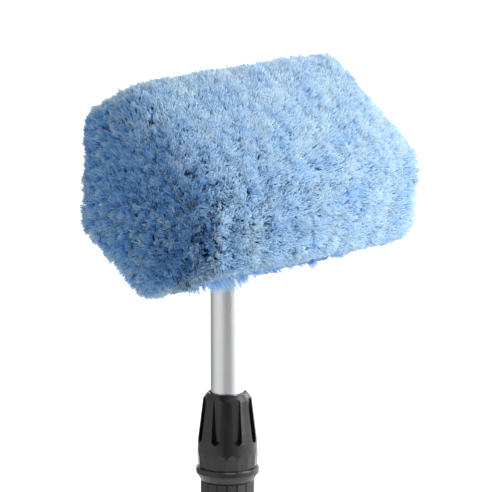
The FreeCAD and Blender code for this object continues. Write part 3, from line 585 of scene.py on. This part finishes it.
def sink(points, tuft, parting, ends, corners):
    """How far each clump's tip lies under the plain outline."""
    beside = np.abs(points[:, 0] - tuft_ends[tuft, 0]) / RIB_HALF
    depth = RIB_DEPTH * np.clip(beside, 0, RIB_WIDEST) ** 2 - SURFACE_RISE + edge_sink(points)
    depth += sum(waves(points, *wave) for wave in SURFACE_WAVES)
    depth += (ends + CORNER_ROUGHER * corners) * waves(points, *END_WAVE)
    parted = np.clip(parting / PARTING_FULL, 0, 1) ** 2
    return depth + PARTING_DEPTH * parted * np.clip(PARTING_EVEN + waves(points, *PARTING_WAVE), 0, 1)


def clump_shades(points, ends, corners):
    """Patchy at random, with painted light making the corners paler, and painted shade making the end faces
    deeper up to their tops.
    """
    end_shade_share = 1 - END_TOP_SHARE * smooth_step((height_up(points) - END_TOP_UP) / END_TOP_RUN)
    shades = SHADE + sum(waves(points, *wave) for wave in SHADE_WAVES)
    # painted light: the corners beside the end faces are made paler
    shades += CORNER_PAINTED_LIGHT * corners
    # painted shade: the end faces are made deeper, less so towards their tops
    shades -= ends * end_shade_share * (END_PAINTED_SHADE + waves(points, *END_PAINTED_SHADE_WAVE))
    return np.clip(shades + rng.normal(0, SHADE_SCATTER, len(points)), *SHADE_LIMITS)


def clumps():
    """The small clumps of flagged ends: tip, direction, shade and bank of each."""
    points, normals, owner = scatter(CLUMPS)
    aim, tuft, parting = flow(points)
    keep = (aim * normals).sum(1) > LEAST_FACING
    points, normals, owner, tuft, aim, parting = (
        values[keep] for values in (points, normals, owner, tuft, aim, parting)
    )
    ends, corners = ends_and_corners(normals, owner)
    depth = sink(points, tuft, parting, ends, corners)
    swirl = np.stack([waves(points, *SWIRL, seed) for seed in SWIRL_SEEDS], axis=1)
    aim = unit(aim + swirl + rng.normal(0, CLUMP_SCATTER, points.shape) - [0, 0, CLUMP_SAG])
    tips = points - aim * depth[:, None] + head_normal * undercut(points)[:, None]
    return tips, aim, clump_shades(points, ends, corners), owner


# a closed slip of four vertices: two at the root, and two at the tip square to them
SLIP = np.array([[0, 2, 1], [0, 1, 3], [0, 3, 2], [1, 2, 3]])
SLIP_ACROSS = np.array([-0.008, 0.008, 0.0, 0.0])
SLIP_ALONG = np.array([0.0, 0.0, 1.0, 1.0])


def slips(tips, aims, shades):
    """A splayed clump of slips for each tip: their vertices and shades."""
    count = len(tips) * CLUMP_STRANDS
    middle = np.repeat(tips, CLUMP_STRANDS, axis=0)
    aim = np.repeat(aims, CLUMP_STRANDS, axis=0)
    first, second = side_frames(aim, random_turns(count))
    spread = rng.normal(0, 1, (4, count, 1))
    tip = middle + (first * spread[0] + second * spread[1]) * CLUMP_TIP_SPREAD
    tip += aim * rng.normal(0, STRAND_UNEVEN, (count, 1))
    stray = rng.random((count, 1)) < STRAY_SHARE
    tip += aim * np.where(stray, rng.exponential(STRAY_LENGTH, (count, 1)), 0)
    length = STRAND_LENGTH * rng.uniform(*STRAND_LENGTHS, (count, 1))
    root = middle - aim * length + (first * spread[2] + second * spread[3]) * CLUMP_ROOT_SPREAD
    axis = unit(tip - root)
    first, second = side_frames(axis, random_turns(count))
    root_half = first * STRAND_ROOT_HALF
    tip_half = second * STRAND_TIP_HALF + axis * rng.normal(0, STRAND_TIP_SLANT, (count, 1))
    vertices = np.stack([root - root_half, root + root_half, tip - tip_half, tip + tip_half], axis=1)
    scattered = np.repeat(shades, CLUMP_STRANDS) + rng.normal(0, STRAND_SHADE_SCATTER, count)
    return vertices, np.clip(scattered, *SHADE_LIMITS)


def flagged_ends(material):
    """The flagged ends of each bank, the long banks in two halves to keep each piece small."""
    tips, aims, shades, owner = clumps()
    middle_x = (CAD_BOX[0][0] + CAD_BOX[1][0]) / 2
    for i, bank in enumerate(BANKS):
        halves = {"": owner == i}
        if not bank.endswith("_end"):
            left = tips[:, 0] < middle_x
            halves = {"_left": (owner == i) & left, "_right": (owner == i) & ~left}
        for half, chosen in halves.items():
            name = bank.replace("bristles", "flags") + half
            bodies, slip_shades = slips(tips[chosen], aims[chosen], shades[chosen])
            piece = bristle_piece(name, bodies, SLIP, slip_shades, SLIP_ACROSS, SLIP_ALONG, material)
            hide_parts(bank)


# ---------------------------------------------------------------- tuft bodies
def tuft_bundles(material):
    """The body of each tuft: a fluted bundle that widens from its hole to just under the flagged ends."""
    gaps = np.linalg.norm(tuft_ends[:, None] - tuft_ends[None], axis=2)
    np.fill_diagonal(gaps, 1e9)
    widest = np.sort(gaps, axis=1)[:, :3].mean(1) * BUNDLE_WIDEST
    lifts = undercut(tuft_ends)[:, None] * head_normal
    turns, shades = rng.random((len(mouths), 2)).T
    first, second = side_frames(directions, turns * 6.28)
    lengths = reaches[:, None] * BUNDLE_SHARE
    angles = np.arange(BUNDLE_SIDES) * 2 * math.pi / BUNDLE_SIDES
    spokes = first[:, None] * np.cos(angles)[:, None] + second[:, None] * np.sin(angles)[:, None]
    flutes = 1 + BUNDLE_FLUTE * np.cos(angles * BUNDLE_SIDES / 2)
    rings = []
    for ring in range(BUNDLE_RINGS):
        share = ring / (BUNDLE_RINGS - 1)
        radius = BUNDLE_FOOT_R + (widest - BUNDLE_FOOT_R) * share**BUNDLE_FLARE
        centre = mouths + directions * (lengths * share - ROOT_DEPTH) + lifts * share**UNDERCUT_BEND
        uneven = flutes if ring else np.ones(BUNDLE_SIDES)
        rings.append(centre[:, None] + spokes * (radius[:, None] * uneven)[..., None])
    foot = mouths - directions * ROOT_DEPTH
    crown = mouths + directions * (lengths + BUNDLE_CROWN) + lifts
    bodies = np.concatenate([*rings, foot[:, None], crown[:, None]], axis=1)

    faces = bar_sides(BUNDLE_SIDES, BUNDLE_RINGS)
    top = (BUNDLE_RINGS - 1) * BUNDLE_SIDES
    low, high = top + BUNDLE_SIDES, top + BUNDLE_SIDES + 1
    for side in range(BUNDLE_SIDES):
        following = (side + 1) % BUNDLE_SIDES
        faces += [(following, side, low), (top + side, top + following, high)]
    index = np.arange(low)
    across = np.append(FLUTE_SHADE * (index % 2), [0.0, 0.0])
    along = BUNDLE_ALONG * (index // BUNDLE_SIDES) / (BUNDLE_RINGS - 1)
    along = np.append(along, [FLUTE_SHADE, BUNDLE_ALONG + FLUTE_SHADE])
    # painted shade: the bundles take deep shades and only the root half of the filament's colours, for the
    # shade inside the tufts
    shades = BUNDLE_SHADES[0] + (BUNDLE_SHADES[1] - BUNDLE_SHADES[0]) * shades
    bristle_piece("tuft_bundles", bodies, np.array(faces), shades, across, along, material)


# ---------------------------------------------------------------- loose strands
def skirt(material):
    """Whole filaments of the lowest rows, seen lengthwise from below: closed tapering strands."""
    low = np.where(directions @ head_normal < math.cos(math.radians(SKIRT_LEAN)))[0]
    tuft = np.repeat(low, SKIRT_STRANDS)
    count = len(tuft)
    lean, base = directions[tuft], mouths[tuft]
    first, second = side_frames(lean, random_turns(count))
    angle, share = random_turns(count), np.sqrt(rng.random(count))
    outward = first * np.cos(angle)[:, None] + second * np.sin(angle)[:, None]
    reach = reaches[tuft][:, None] * rng.uniform(*SKIRT_REACHES, (count, 1))
    fringe = smooth_step(-(base[:, 0] - mouths[:, 0].mean()) / FRINGE_RUN)
    reach *= 1 + FRINGE_UNEVEN * fringe[:, None] * rng.normal(0, 1, (count, 1))
    droop = SKIRT_DROOP + (FRINGE_DROOP - SKIRT_DROOP) * fringe
    droop *= SKIRT_INNER_DROOP + (1 - SKIRT_INNER_DROOP) * share
    ragged = np.clip(waves(base, *RAGGED_WAVE), 0, 1)
    lift = undercut(base + lean * reach) * (1 - ragged)
    # painted light: the ragged fringe at the left front corner is made paler
    shades = np.clip(rng.normal(*SKIRT_SHADES, count) + FRINGE_PAINTED_LIGHT * fringe, *SHADE_LIMITS)
    rings = []
    for ring in range(SKIRT_POINTS):
        t = ring / (SKIRT_POINTS - 1)
        spread = SKIRT_ROOT_SPREAD + (SKIRT_SPREAD - SKIRT_ROOT_SPREAD) * t**SKIRT_FLARE
        centre = base + lean * (reach * t - ROOT_DEPTH) + outward * (share * spread)[:, None]
        centre = centre - np.array([0, 0, 1]) * (droop * t**SKIRT_BEND)[:, None]
        centre = centre + head_normal * (lift * t**UNDERCUT_BEND)[:, None]
        radius = SKIRT_R * (1.0 - SKIRT_TAPER * t)
        for side in range(SKIRT_SIDES):
            turn = 2 * math.pi * side / SKIRT_SIDES
            rings.append(centre + (first * math.cos(turn) + second * math.sin(turn)) * radius)
    bodies = np.stack(rings, axis=1)

    top = (SKIRT_POINTS - 1) * SKIRT_SIDES
    faces = np.array([(0, 2, 1), *bar_sides(SKIRT_SIDES, SKIRT_POINTS), (top, top + 1, top + 2)])
    index = np.arange(SKIRT_POINTS * SKIRT_SIDES)
    across = SKIRT_SIDE_SHADE * (index % SKIRT_SIDES)
    start, end = SKIRT_ALONG
    along = start + (end - start) * (index // SKIRT_SIDES) / (SKIRT_POINTS - 1)
    bristle_piece("skirt_strands", bodies, faces, shades, across, along, material)


bristle_blue = filament()
flagged_ends(bristle_blue)
tuft_bundles(bristle_blue)
skirt(bristle_blue)


# ---------------------------------------------------------------- hard parts
def paint(material, *nodes):
    for node in nodes:
        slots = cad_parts[node].data.materials
        slots.clear()
        slots.append(material)


polypropylene = satin_polypropylene("satin_moulded_polypropylene", "#151618", "#1D1E21")
block_polypropylene = satin_polypropylene("moulded_polypropylene_block", "#121417", "#1A1D22")

paint(anodised_tube(), "inner_tube", "outer_tube")
paint(gloss_abs(), "lock_nut")
paint(polypropylene, "lock_body", "end_cap", "pole_tip", "inner_guide")
paint(block_polypropylene, "tuft_block", "back_cover")
paint(elastomer_grip(), "grip")
paint(acetal(), "collet", "glide_ring")
paint(seal_rubber(), "wiper_ring", "socket_washer")
paint(zinc_plate(), "cover_screws", "guide_pins", "body_pins")
paint(rivet_aluminium(), "cap_rivets", "tip_rivet")
paint(brass_wire(), "tuft_anchors")


# ---------------------------------------------------------------- studio
CAMERA_AZIMUTH = -43.1
CAMERA_DISTANCE = 3.99
CAMERA_RISE = 0.936  # above the lock nut's top
CAMERA_PITCH = 11.72
CAMERA_YAW = 0.194
LENS = 411.2
FLOOR_SIDE = 4.4
FLOOR_GAP = 2.0 * MM

# each light's place, size and power; all aim at the head
LIGHTS = {
    "key": ((1.5, -1.9, 2.5), (1.6, 1.6), 26),
    "rim": ((2.2, -0.1, 2.3), (1.2, 1.6), 22),
    "fill": ((-1.5, -2.4, 3.4), (2.4, 1.6), 34),
    "bounce": ((0.7, -2.9, 1.35), (1.8, 0.7), 41),
}

# brightness round the horizon: 0.5 is towards the camera, and less than that is to its left
RING_PEAK = 1.6
RING = (
    (0.0, 1.6), (0.03, 1.6), (0.09, 0.30), (0.14, 0.35), (0.21, 0.62), (0.30, 0.88), (0.38, 0.88),
    (0.43, 0.55), (0.475, 0.28), (0.525, 0.28), (0.59, 0.62), (0.66, 1.0), (0.72, 1.6), (1.0, 1.6),
)


def place_at(name, data, location, look):
    """An object for a camera or light, looking along look."""
    made = bpy.data.objects.new(name, data)
    bpy.context.scene.collection.objects.link(made)
    made.location = location
    made.rotation_mode = "QUATERNION"
    made.rotation_quaternion = look.to_track_quat("-Z", "Y")
    return made


def camera():
    azimuth, pitch = math.radians(CAMERA_AZIMUTH), math.radians(CAMERA_PITCH)
    heading = azimuth - math.radians(CAMERA_YAW)
    data = bpy.data.cameras.new("camera")
    data.lens = LENS
    data.sensor_width = 36.0
    data.clip_end = 100.0
    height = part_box("lock_nut")[1].z + CAMERA_RISE
    location = (CAMERA_DISTANCE * math.sin(azimuth), -CAMERA_DISTANCE * math.cos(azimuth), height)
    level = math.cos(pitch)
    look = Vector((-math.sin(heading) * level, math.cos(heading) * level, -math.sin(pitch)))
    bpy.context.scene.camera = place_at("camera", data, location, look)


def lights():
    low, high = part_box("tuft_block")
    aim = (low + high) / 2
    for name, (location, size, power) in LIGHTS.items():
        data = bpy.data.lights.new(name, "AREA")
        data.shape = "RECTANGLE"
        data.size, data.size_y = size
        data.energy = power
        place_at(name, data, location, aim - Vector(location))


def ring_of_light():
    """A soft ring round the horizon: bright at both sides, and dim towards the camera."""
    world = bpy.data.worlds.new("studio")
    bpy.context.scene.world = world
    world.use_nodes = True
    background = world.node_tree.nodes["Background"]
    place = add(world, "ShaderNodeTexCoord")
    rotation = (0, 0, math.radians(90 - CAMERA_AZIMUTH))
    inputs = {"Vector": place.outputs["Generated"], "Rotation": rotation}
    turn = add(world, "ShaderNodeMapping", inputs)
    radial = add(world, "ShaderNodeTexGradient", {"Vector": turn.outputs["Vector"]}, gradient_type="RADIAL")
    stops = [(where, (*[level / RING_PEAK] * 3, 1.0)) for where, level in RING]
    shades = add(world, "ShaderNodeValToRGB", {"Fac": radial.outputs["Fac"]}, stops)
    world.node_tree.links.new(shades.outputs["Color"], background.inputs["Color"])
    background.inputs["Strength"].default_value = RING_PEAK


def studio_floor():
    bpy.ops.mesh.primitive_plane_add(size=FLOOR_SIDE, location=(0, 0, CAD_BOX[0][2] - FLOOR_GAP))
    floor = bpy.context.object
    floor.name = "floor"
    floor.data.materials.append(painted_floor())


lights()
studio_floor()
ring_of_light()
camera()
bpy.context.scene.view_settings.view_transform = "Standard"
